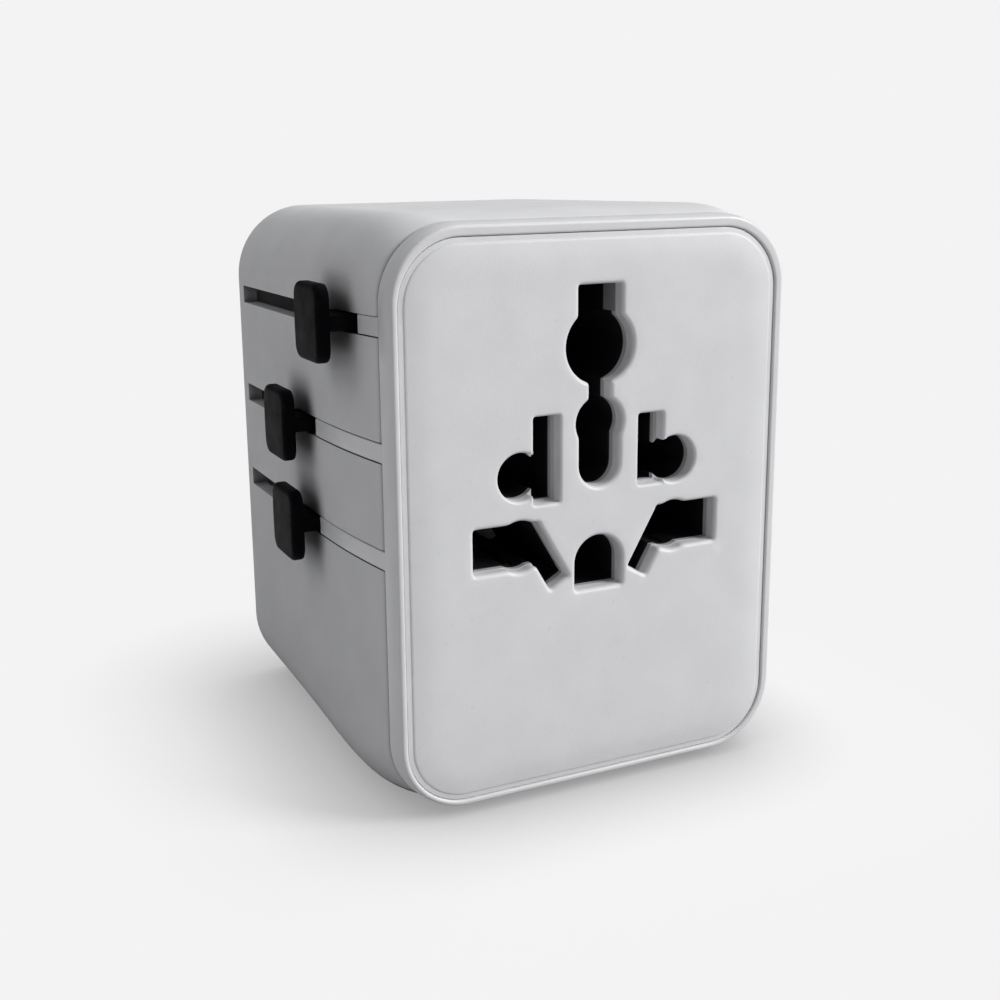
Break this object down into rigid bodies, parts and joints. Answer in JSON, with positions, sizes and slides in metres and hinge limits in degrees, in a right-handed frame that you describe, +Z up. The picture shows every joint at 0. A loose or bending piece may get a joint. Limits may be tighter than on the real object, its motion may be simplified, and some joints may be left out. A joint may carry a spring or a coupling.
{
  "type": "universal travel adapter",
  "caption": "Pocket travel adapter: one multi-standard socket on the face, and sliding British, European and American or Australian plugs that leave through the back.",
  "frame": {"origin": "centre of the flat base that the adapter stands on", "axes": "+Z up towards the earth hole, socket face towards -Y, plug pins leave towards +Y, slide knobs on the -X side"},
  "size_m": [0.0535, 0.051, 0.064],
  "materials": {
    "white_shell": "satin",
    "white_face": "satin",
    "white_core": "satin",
    "black_knob": "satin",
    "black_insulator": "matt",
    "brass_strip": "rolled",
    "nickel_pin": "nickel plated",
    "steel_small": "bright",
    "fuse_body": "ceramic"
  },
  "bodies": {
    "body": {"rear_housing": "white_shell", "front_bezel": "white_shell", "face_plate": "white_face", "back_plate": "white_shell", "socket_core": "white_core", "live_contact": "brass_strip", "neutral_contact": "brass_strip", "earth_contact": "brass_strip", "ground_contact": "brass_strip", "live_bus": "brass_strip", "neutral_bus": "brass_strip", "earth_link": "brass_strip", "fuse": "fuse_body", "fuse_clips": "brass_strip", "fuse_holder": "black_insulator", "fuse_cap": "white_shell", "fuse_link": "brass_strip", "socket_screws": "steel_small", "back_screws": "steel_small"},
    "uk_plug": {"uk_carriage": "black_insulator", "uk_knob": "black_knob", "uk_live_pin": "nickel_pin", "uk_neutral_pin": "nickel_pin", "uk_earth_pin": "nickel_pin", "uk_pin_sleeves": "black_insulator", "uk_latch_spring": "steel_small"},
    "eu_plug": {"eu_carriage": "black_insulator", "eu_knob": "black_knob", "eu_live_pin": "nickel_pin", "eu_neutral_pin": "nickel_pin", "eu_latch_spring": "steel_small"},
    "us_plug": {"us_carriage": "black_insulator", "us_knob": "black_knob", "us_retainer": "black_insulator", "us_latch_spring": "steel_small"},
    "us_live_pin": {"us_live_hub": "black_insulator", "us_live_blade": "nickel_pin"},
    "us_neutral_pin": {"us_neutral_hub": "black_insulator", "us_neutral_blade": "nickel_pin"}
  },
  "joints": [
    {"name": "uk_slide", "type": "slide", "parent": "body", "child": "uk_plug", "axis": [0, 1, 0], "range_m": [0, 0.023]},
    {"name": "eu_slide", "type": "slide", "parent": "body", "child": "eu_plug", "axis": [0, 1, 0], "range_m": [0, 0.0192]},
    {"name": "us_slide", "type": "slide", "parent": "body", "child": "us_plug", "axis": [0, 1, 0], "range_m": [0, 0.0205]},
    {"name": "us_live_twist", "type": "hinge", "parent": "us_plug", "child": "us_live_pin", "pos_m": [0.00635, 0, 0.0158], "axis": [0, 1, 0], "range_deg": [0, 30]},
    {"name": "us_neutral_twist", "type": "hinge", "parent": "us_plug", "child": "us_neutral_pin", "pos_m": [-0.00635, 0, 0.0158], "axis": [0, 1, 0], "range_deg": [-30, 0]}
  ]
}
